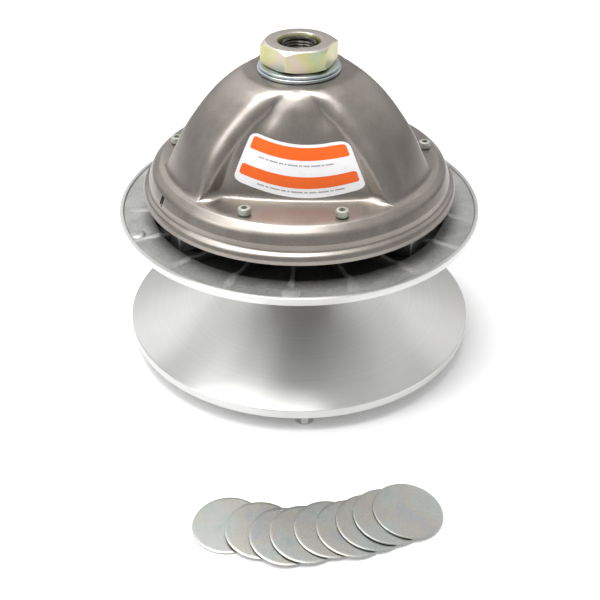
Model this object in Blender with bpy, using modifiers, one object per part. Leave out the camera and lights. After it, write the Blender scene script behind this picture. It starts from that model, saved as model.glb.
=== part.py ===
"""Drive pulley set of a continuously variable transmission, on its three cast feet, with its loose tuning discs.

The pulley's axis is +Z through the origin, and z = 0 is the plane of the hub face and of the feet. The middle of
one recess of the three-lobed cover points along -Y. Lengths are in millimetres and become metres in the meshes.
"""

import math

import bmesh
import bpy
from mathutils import Matrix, Vector

MM = 0.001
GAP = 0.3

# Sheaves
SHEAVE_RADIUS = 108.0
MOVABLE_RADIUS = 107.5
BELT_SLOPE = math.tan(math.radians(14.0))
FIXED_RIM_TOP = 15.0
FIXED_RIM_BOTTOM = 9.2
MOVABLE_RIM_BOTTOM = 86.9
MOVABLE_RIM_TOP = 91.1
CAST_RING_INNER = 88.2
CAST_RING_TOP = 89.7
RIB_COUNT = 18
BACK_RIB_COUNT = 9
FOOT_RADIUS = 97.0
FOOT_ANGLE = -85.7
PAD_TOP = 94.7

# Shaft, tower and spring
SHAFT_RADIUS = 20.0
SHAFT_NECK_RADIUS = 14.0
THREAD_RADIUS = 11.0
BORE_RADIUS = 8.65
TAPER_MOUTH_RADIUS = 15.0
TAPER_END_RADIUS = 12.5
TAPER_LENGTH = 50.0
SHAFT_SHOULDER = 95.0
SHAFT_TOP = 187.5
TOWER_INNER = 28.0
TOWER_OUTER = 33.5
TOWER_TOP = 150.0
CAP_THICKNESS = 4.0
CAP_SCREW_CIRCLE = 30.75
SPRING_WIRE = 4.2
SPRING_OUTER = 26.0
SPRING_TURNS = 5
SPRING_SEAT_TOP = 98.3

# Dome cover
DOME_TOP = 172.4
DOME_SHEET = 2.2
DOME_FLANGE = 119.6
LOBE_HALF_WIDTH = 24.8
LOBE_AXES = (90.0, 210.0, 330.0)
RECESS_AXES = (-90.0, 30.0, 150.0)
EDGE_ROUNDING = 7.5
FOOT_ROUNDING = 4.5
FLATNESS = ((0.0, -1.0), (36.0, -1.0), (47.0, 0.45), (56.0, 0.75), (80.0, 0.75))
CREST = (
    (0.0, 172.4),
    (30.0, 172.4),
    (36.0, 170.8),
    (43.0, 166.8),
    (51.0, 160.0),
    (60.0, 150.4),
    (66.0, 142.6),
    (71.0, 134.0),
    (76.0, 124.0),
    (81.0, 112.0),
)
RECESS = (
    (0.0, 172.4),
    (26.0, 172.4),
    (32.0, 171.2),
    (38.0, 166.0),
    (42.0, 159.0),
    (46.0, 150.2),
    (50.0, 139.5),
    (53.0, 128.5),
    (56.0, 114.0),
)
RIM = (
    (81.0, 119.2),
    (83.5, 117.8),
    (86.0, 115.2),
    (88.0, 111.4),
    (88.6, 108.8),
    (90.6, 105.8),
    (92.4, 104.7),
    (92.4, 101.8),
)
RECESS_BLEND = 9.0
CREST_BLEND = 4.0
SLOT_ANGLE = 212.0
RAMP_SLOPE = 1.65

# Fasteners on the cover
COVER_SCREW_CIRCLE = 75.3
COVER_SCREW_SPREAD = 20.0
SCREW_HEAD_RADIUS = 3.5
SCREW_HEAD_HEIGHT = 4.0
SCREW_SHANK_RADIUS = 2.0
SCREW_HOLE_RADIUS = 2.3
NUT_ACROSS_FLATS = 38.0
NUT_BOTTOM = 176.5
NUT_TOP = 188.8
NUT_TURN = -107.5
WASHER_RADIUS = 23.5

# Sliding blocks
BLOCK_RADIUS = 20.5
BLOCK_AXIS_Z = 116.5
BLOCK_INNER = 36.0
BLOCK_OUTER = 62.0
RAMP_CONTACT = (56.0, 148.0)
BLOCK_FLOOR = 98.0
POCKET_RADIUS = 18.55
POCKET_DEPTH = 5.0

# Tuning discs
DISC_RADIUS = 18.35
DISC_THICKNESS = 0.8
DISC_GAP = 0.3
DISC_CENTRES = (
    (-28.2, -178.6),
    (-11.2, -182.2),
    (1.3, -185.9),
    (11.5, -184.5),
    (23.4, -180.7),
    (34.5, -179.6),
    (44.4, -175.5),
    (53.0, -171.4),
    (63.1, -167.2),
)

STEPS = 48
SMALL_STEPS = 32
RECESS_STEPS = 3

MATERIALS = {
    "turned_aluminium": ((0.80, 0.80, 0.80), 1.0, 0.28),
    "cast_aluminium": ((0.52, 0.52, 0.51), 0.9, 0.50),
    "machined_steel": ((0.55, 0.55, 0.56), 1.0, 0.30),
    "satin_steel": ((0.40, 0.37, 0.34), 1.0, 0.35),
    "zinc_plate": ((0.66, 0.70, 0.72), 1.0, 0.28),
    "yellow_zinc": ((0.62, 0.63, 0.45), 1.0, 0.30),
    "screw_plate": ((0.36, 0.38, 0.33), 0.8, 0.45),
    "black_steel": ((0.08, 0.08, 0.08), 0.9, 0.45),
    "spring_steel": ((0.30, 0.31, 0.33), 1.0, 0.35),
    "bronze": ((0.55, 0.38, 0.20), 1.0, 0.35),
    "bearing_polymer": ((0.05, 0.05, 0.05), 0.0, 0.50),
    "disc_steel": ((0.72, 0.74, 0.73), 1.0, 0.25),
}


def clear_scene():
    for obj in list(bpy.data.objects):
        bpy.data.objects.remove(obj, do_unlink=True)


def new_collection(name):
    collection = bpy.data.collections.new(name)
    bpy.context.scene.collection.children.link(collection)
    return collection


def new_material(name, colour, metallic, roughness):
    material = bpy.data.materials.new(name)
    material.use_nodes = True
    shader = material.node_tree.nodes["Principled BSDF"]
    shader.inputs["Base Color"].default_value = (*colour, 1.0)
    shader.inputs["Metallic"].default_value = metallic
    shader.inputs["Roughness"].default_value = roughness
    return material


def add_object(name, mesh, material, parent=None):
    """One sub-part, in the object's own collection."""
    mesh.materials.append(bpy.data.materials[material])
    obj = bpy.data.objects.new(name, mesh)
    PARTS.objects.link(obj)
    if parent is not None:
        obj.parent = parent
        obj.matrix_parent_inverse = parent.matrix_world.inverted()
    return obj


def add_empty(name, location, turn=0.0):
    empty = bpy.data.objects.new(name, None)
    empty.location = Vector(location) * MM
    empty.rotation_euler = (0.0, 0.0, math.radians(turn))
    empty.empty_display_size = 0.02
    PARTS.objects.link(empty)
    bpy.context.view_layer.update()
    return empty


def mesh_from(bm, name, smooth_angle=30.0):
    mesh = bpy.data.meshes.new(name)
    bmesh.ops.recalc_face_normals(bm, faces=bm.faces[:])
    bm.to_mesh(mesh)
    bm.free()
    mesh.shade_smooth()
    mesh.set_sharp_from_angle(angle=math.radians(smooth_angle))
    return mesh


def polar(radius, degrees, height=0.0):
    angle = math.radians(degrees)
    return Vector((radius * math.cos(angle), radius * math.sin(angle), height))


def around_z(degrees):
    return Matrix.Rotation(math.radians(degrees), 4, "Z")


def turned(name, profile, material, steps=STEPS, parent=None):
    """A ring turned about Z from a closed profile of (radius, height), listed down its outer side."""
    mesh = bpy.data.meshes.new(name)
    points = [(radius * MM, 0.0, height * MM) for radius, height in profile]
    count = len(points)
    mesh.from_pydata(points, [(i, (i + 1) % count) for i in range(count)], [])
    obj = add_object(name, mesh, material, parent)
    screw = obj.modifiers.new("turn", "SCREW")
    screw.axis = "Z"
    screw.angle = math.tau
    screw.steps = steps
    screw.render_steps = steps
    screw.use_merge_vertices = True
    screw.merge_threshold = 0.00001
    screw.use_smooth_shade = True
    return obj


def cutter(name, bm):
    """A hidden helper solid for a Boolean modifier."""
    obj = bpy.data.objects.new(name, mesh_from(bm, name))
    obj.hide_render = True
    obj.display_type = "WIRE"
    CUTTERS.objects.link(obj)
    return obj


def boolean(obj, helper, operation):
    modifier = obj.modifiers.new(helper.name, "BOOLEAN")
    modifier.operation = operation
    modifier.object = helper
    modifier.solver = "EXACT"
    return modifier


def add_cylinder(bm, radius, low, high, place=None, segments=SMALL_STEPS, top_radius=None):
    """A cylinder, or a cone frustum, along its own Z between two heights, moved by place."""
    centre = Matrix.Translation((0.0, 0.0, (low + high) / 2.0 * MM))
    bmesh.ops.create_cone(
        bm,
        cap_ends=True,
        segments=segments,
        radius1=radius * MM,
        radius2=(radius if top_radius is None else top_radius) * MM,
        depth=(high - low) * MM,
        matrix=(Matrix.Identity(4) if place is None else place) @ centre,
    )


def add_box(bm, low, high, place=None):
    """A box between two corners, moved by place."""
    size = Vector(high) - Vector(low)
    centre = (Vector(high) + Vector(low)) / 2.0
    matrix = Matrix.Translation(centre * MM) @ Matrix.Diagonal((*(size * MM), 1.0))
    bmesh.ops.create_cube(bm, size=1.0, matrix=(Matrix.Identity(4) if place is None else place) @ matrix)


def at(radius, degrees, height=0.0):
    """A place on a circle about the axis, with its X axis pointing outwards."""
    return Matrix.Translation(polar(radius, degrees, height) * MM) @ around_z(degrees)


def add_prism(bm, outline, width, place=None):
    """A flat outline of (x, z) points, extruded from -width / 2 to width / 2 along Y."""
    low = [bm.verts.new((x * MM, -width / 2.0 * MM, z * MM)) for x, z in outline]
    high = [bm.verts.new((x * MM, width / 2.0 * MM, z * MM)) for x, z in outline]
    count = len(outline)
    bm.faces.new(low)
    bm.faces.new(list(reversed(high)))
    for i in range(count):
        bm.faces.new((low[i], high[i], high[(i + 1) % count], low[(i + 1) % count]))
    if place is not None:
        bmesh.ops.transform(bm, matrix=place, verts=low + high)


def fixed_belt_face(radius):
    return FIXED_RIM_TOP + (SHEAVE_RADIUS - radius) * BELT_SLOPE


def movable_belt_face(radius):
    return MOVABLE_RIM_BOTTOM - (MOVABLE_RADIUS - radius) * BELT_SLOPE


def make_fixed_sheave():
    """The lower sheave: a turned cone with a plain hub, radial ribs and three feet on its back."""
    hub_outer = 31.0
    bore = SHAFT_RADIUS + GAP
    edge = 0.6
    sheave = turned(
        "fixed_sheave",
        [
            (bore, fixed_belt_face(bore)),
            (SHEAVE_RADIUS - edge, FIXED_RIM_TOP + edge * BELT_SLOPE),
            (SHEAVE_RADIUS, FIXED_RIM_TOP - edge),
            (SHEAVE_RADIUS, FIXED_RIM_BOTTOM + edge),
            (SHEAVE_RADIUS - edge, FIXED_RIM_BOTTOM),
            (99.0, FIXED_RIM_BOTTOM),
            (93.0, 11.4),
            (40.0, 24.6),
            (hub_outer, 23.0),
            (hub_outer, 0.0),
            (bore, 0.0),
        ],
        "turned_aluminium",
    )
    ribs = bmesh.new()
    rib_half = 2.0
    for index in range(BACK_RIB_COUNT):
        place = around_z(FOOT_ANGLE + index * 360.0 / BACK_RIB_COUNT)
        outline = [(28.0, 6.0), (28.0, 26.0), (90.0, 13.2), (96.0, 11.2), (96.0, 6.4), (60.0, 6.4)]
        add_prism(ribs, outline, 2.0 * rib_half, place)
    boolean(sheave, cutter("back_ribs", ribs), "UNION")
    feet = bmesh.new()
    for index in range(3):
        place = at(FOOT_RADIUS, FOOT_ANGLE + index * 120.0)
        add_cylinder(feet, 5.8, 0.0, 11.5, place, segments=20, top_radius=7.2)
    boolean(sheave, cutter("feet", feet), "UNION")


def make_shaft():
    """The main shaft: a taper from below, a bolt bore, a shoulder for the spring and a threaded end."""
    chamfer = 0.8
    turned(
        "shaft",
        [
            (BORE_RADIUS, SHAFT_TOP),
            (THREAD_RADIUS - chamfer, SHAFT_TOP),
            (THREAD_RADIUS, SHAFT_TOP - chamfer),
            (THREAD_RADIUS, DOME_TOP - DOME_SHEET - GAP),
            (SHAFT_NECK_RADIUS, DOME_TOP - DOME_SHEET - GAP),
            (SHAFT_NECK_RADIUS, SHAFT_SHOULDER),
            (SHAFT_RADIUS, SHAFT_SHOULDER),
            (SHAFT_RADIUS, 0.0),
            (TAPER_MOUTH_RADIUS, 0.0),
            (TAPER_END_RADIUS, TAPER_LENGTH),
            (BORE_RADIUS, TAPER_LENGTH),
        ],
        "machined_steel",
        steps=SMALL_STEPS,
    )


def make_ring(name, inner, outer, low, high, material, parent=None, steps=SMALL_STEPS, edge=0.0):
    """A plain ring, or a washer, with an optional chamfer on its outer edges."""
    profile = [(inner, high), (outer - edge, high)]
    if edge > 0.0:
        profile += [(outer, high - edge), (outer, low + edge)]
    profile += [(outer - edge, low), (inner, low)]
    return turned(name, profile, material, steps, parent)


def smooth_max(a, b, blend):
    overlap = max(blend - abs(a - b), 0.0) / blend
    return max(a, b) + overlap * overlap * blend / 4.0


def along(profile, radius):
    """Height of a smooth curve through the points of a profile, level with their slopes where it turns."""
    if radius >= profile[-1][0]:
        (r0, z0), (r1, z1) = profile[-2:]
        return z1 + (radius - r1) * (z1 - z0) / (r1 - r0)
    slopes = [(b[1] - a[1]) / (b[0] - a[0]) for a, b in zip(profile, profile[1:])]
    tangents = [slopes[0]]
    for before, after in zip(slopes, slopes[1:]):
        tangents.append(0.0 if before * after <= 0.0 else 2.0 * before * after / (before + after))
    tangents.append(slopes[-1])
    index = max(i for i in range(len(slopes)) if profile[i][0] <= radius)
    (r0, z0), (r1, z1) = profile[index : index + 2]
    width = r1 - r0
    t = (radius - r0) / width
    value = (2 * t**3 - 3 * t**2 + 1) * z0 + (3 * t**2 - 2 * t**3) * z1
    return value + width * ((t**3 - 2 * t**2 + t) * tangents[index] + (t**3 - t**2) * tangents[index + 1])


def quarter_round(distance, radius):
    """1 at a corner, falling to 0 along a quarter circle at the given distance from it."""
    s = min(max(distance / radius, 0.0), 1.0)
    return 1.0 - math.sqrt(1.0 - (1.0 - s) ** 2)


def recess_height(radius, angle):
    """Height of the recess floor at an angle from a lobe's axis. Low down it is flatter than a cone."""
    bulge = math.cos(math.radians(60.0 - angle)) ** along(FLATNESS, radius)
    return min(smooth_max(along(RECESS, radius * bulge), DOME_FLANGE, RECESS_BLEND), DOME_TOP)


def cover_height(radius, angle):
    """Height of the pressed cover's outer surface at an angle in degrees from the nearest lobe's axis."""
    crest = min(smooth_max(along(CREST, radius), DOME_FLANGE, CREST_BLEND), DOME_TOP)
    edge = math.degrees(math.asin(min(LOBE_HALF_WIDTH / radius, 1.0)))
    wall = max(crest - recess_height(radius, edge), 0.0)
    inside = LOBE_HALF_WIDTH - radius * math.sin(math.radians(angle))
    if inside > 0.0:
        return crest - min(EDGE_ROUNDING, 0.6 * wall) * quarter_round(inside, EDGE_ROUNDING)
    rise = min(FOOT_ROUNDING, 0.4 * wall) * quarter_round(-inside, FOOT_ROUNDING)
    return min(recess_height(radius, angle), crest) + rise


def cover_lines():
    """Distances across a lobe at which the cover's grid lines run, from its axis to beyond its foot."""
    half = LOBE_HALF_WIDTH
    return [0.0, 9.0, half - EDGE_ROUNDING, half - 3.0, half - 0.3, half + 0.5, half + FOOT_ROUNDING]


def line_angle(index, count, across, radius):
    """Angle from the lobe's axis of one grid line at a radius. Near the top the lines spread out evenly."""
    limit = 54.0 * index / (count - 1)
    return min(math.degrees(math.asin(min(across / radius, 1.0))), limit)


def dome_rings():
    """The cover's grid lines: rings over the crown, then the rolled rim, as (radius, height or None)."""
    crown = (11.4, 24.0, 30.0, 34.0, 38.0, 42.0, 46.0, 50.0, 53.0, 56.0, 60.0, 65.0, 70.0, 75.0, 79.0)
    return [(radius, None) for radius in crown] + list(RIM)


def cover_ring(radius, height):
    """The points of one ring, as (angle, height). Height is None where the pressed shape sets it."""
    lines = cover_lines()
    angles = [line_angle(index, len(lines), across, radius) for index, across in enumerate(lines)]
    last = angles[-1]
    angles += [last + (60.0 - last) * step / RECESS_STEPS for step in range(1, RECESS_STEPS + 1)]
    half = [(angle, cover_height(radius, angle) if height is None else height) for angle in angles]
    ring = []
    for axis in LOBE_AXES:
        ring += [(axis - angle, z) for angle, z in reversed(half[1:-1])]
        ring += [(axis + angle, z) for angle, z in half]
    return ring


def make_dome_cover():
    bm = bmesh.new()
    rings = []
    for radius, height in dome_rings():
        ring = cover_ring(radius, height)
        rings.append([bm.verts.new(polar(radius, angle, z) * MM) for angle, z in ring])
    for inner, outer in zip(rings, rings[1:]):
        for index in range(len(inner)):
            after = (index + 1) % len(inner)
            bm.faces.new((inner[index], outer[index], outer[after], inner[after]))
    dome = add_object("dome_cover", mesh_from(bm, "dome_cover", 60.0), "satin_steel")
    solidify = dome.modifiers.new("sheet", "SOLIDIFY")
    solidify.thickness = DOME_SHEET * MM
    solidify.offset = -1.0
    holes = bmesh.new()
    for angle in cover_screw_angles():
        add_cylinder(holes, SCREW_HOLE_RADIUS, 110.0, 130.0, at(COVER_SCREW_CIRCLE, angle), segments=12)
    boolean(dome, cutter("cover_screw_holes", holes), "DIFFERENCE")
    slot = bmesh.new()
    add_box(slot, (80.0, -2.0, 109.6), (96.0, 2.0, 115.2), around_z(SLOT_ANGLE))
    boolean(dome, cutter("cover_slot", slot), "DIFFERENCE")


def cover_screw_angles():
    return [axis + side * COVER_SCREW_SPREAD for axis in RECESS_AXES for side in (-1.0, 1.0)]


def socket_screw(name, head_base, head_radius, head_height, shank, place, material, parent=None):
    """A socket-head cap screw standing on head_base, with its shank, of (radius, length), below."""
    bm = bmesh.new()
    add_cylinder(bm, head_radius, head_base, head_base + head_height, segments=16)
    screw = add_object(name, mesh_from(bm, name), material, parent)
    screw.matrix_world = place
    stem = bmesh.new()
    add_cylinder(stem, shank[0], head_base - shank[1], head_base + 1.0, segments=12)
    shank_tool = cutter(name + "_shank", stem)
    shank_tool.matrix_world = place
    boolean(screw, shank_tool, "UNION")
    socket = bmesh.new()
    top = head_base + head_height
    add_cylinder(socket, head_radius * 0.5, top - head_height * 0.5, top + 1.0, segments=6)
    socket_tool = cutter(name + "_socket", socket)
    socket_tool.matrix_world = place
    boolean(screw, socket_tool, "DIFFERENCE")


def make_cover_screws():
    for index, angle in enumerate(cover_screw_angles()):
        socket_screw(
            f"cover_screw_{index + 1}",
            DOME_FLANGE + GAP,
            SCREW_HEAD_RADIUS,
            SCREW_HEAD_HEIGHT - GAP,
            (SCREW_SHANK_RADIUS, 8.0),
            at(COVER_SCREW_CIRCLE, angle),
            "screw_plate",
        )


def make_guide_bracket(index, axis):
    """A bracket under the flange of one recess, whose two walls guide the blocks on either side."""
    plate_low = 113.6
    plate_high = DOME_FLANGE - DOME_SHEET - GAP
    wall_low = 97.2
    wall_inner = BLOCK_RADIUS + 0.8
    wall_thickness = 2.5
    name = f"guide_bracket_{index}"
    bracket = make_ring(name, 62.0, 79.0, plate_low, plate_high, "machined_steel", steps=STEPS)
    reach = 200.0
    apex = (wall_inner + 0.5) / math.sin(math.radians(60.0))
    far_x = apex + reach * math.cos(math.radians(60.0))
    far_y = reach * math.sin(math.radians(60.0))
    wedge = bmesh.new()
    lift = Matrix.Translation((0.0, 0.0, plate_low * MM))
    flat = around_z(axis) @ lift @ Matrix.Rotation(math.pi / 2.0, 4, "X")
    add_prism(wedge, [(apex, 0.0), (far_x, far_y), (far_x, -far_y)], 40.0, flat)
    boolean(bracket, cutter(name + "_sector", wedge), "INTERSECT")
    walls = bmesh.new()
    for side in (-1.0, 1.0):
        place = around_z(axis + side * 60.0)
        low = wall_inner if side < 0.0 else -wall_inner - wall_thickness
        add_box(walls, (52.0, low, wall_low), (75.5, low + wall_thickness, plate_high - 0.4), place)
    boolean(bracket, cutter(name + "_walls", walls), "UNION")
    holes = bmesh.new()
    for side in (-1.0, 1.0):
        place = at(COVER_SCREW_CIRCLE, axis + side * COVER_SCREW_SPREAD)
        add_cylinder(holes, SCREW_HOLE_RADIUS, 105.0, 130.0, place, segments=12)
    boolean(bracket, cutter(name + "_holes", holes), "DIFFERENCE")


def make_nut_stack():
    """Two washers and the large chamfered nut that clamp the cover on the shaft."""
    bore = THREAD_RADIUS + GAP
    make_ring("flat_washer", bore, WASHER_RADIUS, DOME_TOP + 0.25, 174.4, "zinc_plate", edge=0.4)
    make_ring("spring_washer", bore, WASHER_RADIUS - 0.8, 174.65, 176.25, "zinc_plate", edge=0.4)
    corner = NUT_ACROSS_FLATS / 2.0 / math.cos(math.radians(30.0))
    bm = bmesh.new()
    add_cylinder(bm, corner, NUT_BOTTOM, NUT_TOP, around_z(NUT_TURN), segments=6)
    nut = add_object("top_nut", mesh_from(bm, "top_nut"), "yellow_zinc")
    chamfer_radius = NUT_ACROSS_FLATS / 2.0 - 0.5
    drop = (corner + 0.5 - chamfer_radius) * math.tan(math.radians(27.0))
    turning = turned(
        "nut_turning",
        [
            (bore, NUT_TOP + 0.02),
            (chamfer_radius, NUT_TOP + 0.02),
            (corner + 0.5, NUT_TOP - drop),
            (corner + 0.5, NUT_BOTTOM + drop),
            (chamfer_radius, NUT_BOTTOM - 0.02),
            (bore, NUT_BOTTOM - 0.02),
        ],
        "yellow_zinc",
    )
    PARTS.objects.unlink(turning)
    CUTTERS.objects.link(turning)
    turning.hide_render = True
    turning.display_type = "WIRE"
    boolean(nut, turning, "INTERSECT")


def make_movable_sheave(slide):
    """The upper sheave: belt cone, cast ring and ribs, three slide pads and the spring tower."""
    edge = 0.4
    bush_bore = 23.3
    tower_floor = 93.0
    sheave = turned(
        "movable_sheave",
        [
            (TOWER_INNER, TOWER_TOP),
            (TOWER_OUTER, TOWER_TOP),
            (TOWER_OUTER, movable_belt_face(TOWER_OUTER) + 6.0),
            (CAST_RING_INNER, movable_belt_face(CAST_RING_INNER) + 3.6),
            (CAST_RING_INNER, CAST_RING_TOP),
            (105.0, 90.1),
            (105.6, MOVABLE_RIM_TOP),
            (MOVABLE_RADIUS - edge, MOVABLE_RIM_TOP),
            (MOVABLE_RADIUS, MOVABLE_RIM_TOP - edge),
            (MOVABLE_RADIUS, MOVABLE_RIM_BOTTOM + edge),
            (MOVABLE_RADIUS - edge, MOVABLE_RIM_BOTTOM),
            (bush_bore, movable_belt_face(bush_bore)),
            (bush_bore, tower_floor),
            (TOWER_INNER, tower_floor),
        ],
        "cast_aluminium",
        parent=slide,
    )
    ribs = bmesh.new()
    root = TOWER_OUTER - 2.0
    tip = 91.0
    for index in range(RIB_COUNT):
        outline = [
            (root, movable_belt_face(root) + 2.0),
            (root, CAST_RING_TOP - 0.4),
            (tip, CAST_RING_TOP - 0.4),
            (tip, movable_belt_face(tip) + 2.0),
        ]
        add_prism(ribs, outline, 2.6, around_z(index * 360.0 / RIB_COUNT + 10.0))
    boolean(sheave, cutter("sheave_ribs", ribs), "UNION")
    pads = bmesh.new()
    for axis in LOBE_AXES:
        add_box(pads, (TOWER_OUTER - 2.0, -16.0, 84.0), (84.0, 16.0, PAD_TOP), around_z(axis))
    boolean(sheave, cutter("slide_pads", pads), "UNION")
    holes = bmesh.new()
    for axis in LOBE_AXES:
        add_cylinder(holes, 1.9, 138.0, 160.0, at(CAP_SCREW_CIRCLE, axis), segments=12)
    boolean(sheave, cutter("tower_screw_holes", holes), "DIFFERENCE")


def make_tower_fittings(slide):
    """The bushes, the cap that holds the spring in the tower, and its three screws."""
    make_ring("lower_bush", SHAFT_RADIUS + GAP, 23.0, 66.5, 92.0, "bronze", slide)
    cap_low = TOWER_TOP + GAP
    cap_high = cap_low + CAP_THICKNESS
    cap = make_ring("tower_cap", 17.3, TOWER_OUTER, cap_low, cap_high, "machined_steel", slide, edge=0.5)
    make_ring("upper_bush", SHAFT_NECK_RADIUS + GAP, 17.0, 144.0, 155.0, "bearing_polymer", slide)
    holes = bmesh.new()
    for axis in LOBE_AXES:
        add_cylinder(holes, 2.0, cap_low - 2.0, cap_high + 2.0, at(CAP_SCREW_CIRCLE, axis), segments=12)
    boolean(cap, cutter("cap_screw_holes", holes), "DIFFERENCE")
    for index, axis in enumerate(LOBE_AXES):
        name = f"cap_screw_{index + 1}"
        place = at(CAP_SCREW_CIRCLE, axis)
        socket_screw(name, cap_high + GAP, 2.9, 2.6, (1.6, 12.0), place, "black_steel", slide)


def make_spring(slide):
    """The compression spring between the shaft's seat and the tower cap."""
    low = SPRING_SEAT_TOP + GAP + SPRING_WIRE / 2.0
    high = TOWER_TOP - SPRING_WIRE / 2.0
    radius = SPRING_OUTER - SPRING_WIRE / 2.0
    points_per_turn = 16
    count = SPRING_TURNS * points_per_turn
    curve = bpy.data.curves.new("clutch_spring", "CURVE")
    curve.dimensions = "3D"
    curve.bevel_depth = SPRING_WIRE / 2.0 * MM
    curve.bevel_resolution = 2
    curve.use_fill_caps = True
    spline = curve.splines.new("POLY")
    spline.points.add(count)
    for index in range(count + 1):
        point = polar(radius, 360.0 * index / points_per_turn, low + (high - low) * index / count)
        spline.points[index].co = (*(point * MM), 1.0)
    add_object("clutch_spring", curve, "spring_steel", slide)


def ramp_radius(height, depth):
    """Radius at a height of the plane parallel to the ramp, at a depth below the shoe's contact point."""
    radius, top = RAMP_CONTACT
    return radius + (top - height - depth * math.hypot(1.0, RAMP_SLOPE)) / RAMP_SLOPE


def make_block(index, axis, slide):
    """One sliding block: a drum lying radially in its lobe, cut along the ramp, with a disc pocket."""
    turn = around_z(axis)
    lie = turn @ Matrix.Translation((0.0, 0.0, BLOCK_AXIS_Z * MM)) @ Matrix.Rotation(math.pi / 2.0, 4, "Y")
    block_slide = add_empty(f"block_{index}_slide", (0.0, 0.0, 0.0), axis)
    block_slide.parent = slide
    bm = bmesh.new()
    add_cylinder(bm, BLOCK_RADIUS, BLOCK_INNER, BLOCK_OUTER, lie, segments=32)
    block = add_object(f"block_{index}", mesh_from(bm, f"block_{index}"), "cast_aluminium")
    pocket = bmesh.new()
    add_cylinder(pocket, POCKET_RADIUS, BLOCK_INNER - 2.0, BLOCK_INNER + POCKET_DEPTH, lie, segments=32)
    boolean(block, cutter(f"block_{index}_pocket", pocket), "DIFFERENCE")
    waste = bmesh.new()
    add_box(waste, (BLOCK_INNER - 5.0, -30.0, 80.0), (BLOCK_OUTER + 5.0, 30.0, BLOCK_FLOOR), turn)
    boolean(block, cutter(f"block_{index}_floor", waste), "DIFFERENCE")
    arm_top = 150.0
    arm_low = BLOCK_AXIS_Z + 4.0
    arm = bmesh.new()
    arm_outer = BLOCK_OUTER - 0.6
    arm_outline = [(41.0, arm_low), (41.0, arm_top), (arm_outer, arm_top), (arm_outer, arm_low)]
    add_prism(arm, arm_outline, 26.0, turn)
    boolean(block, cutter(f"block_{index}_arm", arm), "UNION")
    shoe_depth = 3.2
    face = shoe_depth + GAP
    slant = bmesh.new()
    low_end = (ramp_radius(110.0, face), 110.0)
    high_end = (ramp_radius(160.0, face), 160.0)
    add_prism(slant, [low_end, high_end, (100.0, 160.0), (100.0, 110.0)], 60.0, turn)
    boolean(block, cutter(f"block_{index}_ramp", slant), "DIFFERENCE")

    shoe_top = 147.0
    shoe_foot = 137.5
    shoe = bmesh.new()
    outline = [
        (ramp_radius(shoe_top, shoe_depth), shoe_top),
        (ramp_radius(shoe_top, 0.0), shoe_top),
        (ramp_radius(shoe_foot, 0.0), shoe_foot),
        (ramp_radius(shoe_foot, shoe_depth), shoe_foot),
    ]
    add_prism(shoe, outline, 22.0, turn)
    ramp_shoe = add_object(f"ramp_shoe_{index}", mesh_from(shoe, f"ramp_shoe_{index}"), "bearing_polymer")

    base = bmesh.new()
    add_box(base, (39.0, -12.0, PAD_TOP + GAP), (61.0, 12.0, BLOCK_FLOOR - GAP), turn)
    base_shoe = add_object(f"base_shoe_{index}", mesh_from(base, f"base_shoe_{index}"), "bearing_polymer")
    bevel = base_shoe.modifiers.new("edges", "BEVEL")
    bevel.width = 0.0006
    bevel.segments = 1

    ring = bpy.data.curves.new(f"disc_retainer_{index}", "CURVE")
    ring.dimensions = "3D"
    ring.bevel_depth = 0.6 * MM
    ring.bevel_resolution = 2
    ring.use_fill_caps = True
    spline = ring.splines.new("POLY")
    ring_points = 25
    spline.points.add(ring_points - 1)
    for step in range(ring_points):
        point = polar(POCKET_RADIUS - 1.0, 110.0 + 320.0 * step / (ring_points - 1), BLOCK_INNER + 1.2)
        spline.points[step].co = (*(lie @ (point * MM)), 1.0)
    retainer = add_object(f"disc_retainer_{index}", ring, "spring_steel")
    bpy.context.view_layer.update()
    for obj in (block, ramp_shoe, base_shoe, retainer):
        obj.parent = block_slide
        obj.matrix_parent_inverse = block_slide.matrix_world.inverted()


def disc_slopes():
    """Slope of each disc of the fan: it leans on the one before and touches the floor at its +X edge."""
    width = 2.0 * DISC_RADIUS
    rise = DISC_THICKNESS + DISC_GAP
    slopes = [0.0]
    for before, this in zip(DISC_CENTRES, DISC_CENTRES[1:]):
        pitch = this[0] - before[0]
        on_edge = rise / pitch
        on_face = slopes[-1] * (1.0 - pitch / width) + rise / width
        slopes.append(max(on_edge, on_face))
    return slopes


def make_tuning_discs():
    for index, (centre, slope) in enumerate(zip(DISC_CENTRES, disc_slopes())):
        angle = math.atan(slope)
        height = DISC_RADIUS * math.sin(angle) + DISC_THICKNESS / 2.0 * math.cos(angle)
        bm = bmesh.new()
        add_cylinder(bm, DISC_RADIUS, -DISC_THICKNESS / 2.0, DISC_THICKNESS / 2.0, segments=40)
        name = f"tuning_disc_{index + 1}"
        disc = add_object(name, mesh_from(bm, name), "disc_steel")
        disc.location = Vector((centre[0], centre[1], height)) * MM
        disc.rotation_euler = (0.0, angle, 0.0)


clear_scene()
PARTS = new_collection("cvt_pulley_set")
CUTTERS = new_collection("cutters")
CUTTERS.hide_render = True
for material_name, (base_colour, metal, rough) in MATERIALS.items():
    new_material(material_name, base_colour, metal, rough)

make_fixed_sheave()
make_shaft()
seat_bore = SHAFT_NECK_RADIUS + GAP
make_ring("spring_seat", seat_bore, 27.0, SHAFT_SHOULDER + GAP, SPRING_SEAT_TOP, "machined_steel")
make_dome_cover()
make_nut_stack()
make_cover_screws()
for bracket_index, recess_axis in enumerate(RECESS_AXES):
    make_guide_bracket(bracket_index + 1, recess_axis)
sheave_slide = add_empty("sheave_slide", (0.0, 0.0, 0.0))
make_movable_sheave(sheave_slide)
make_tower_fittings(sheave_slide)
make_spring(sheave_slide)
for block_index, lobe_axis in enumerate(LOBE_AXES):
    make_block(block_index + 1, lobe_axis, sheave_slide)
make_tuning_discs()
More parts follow.
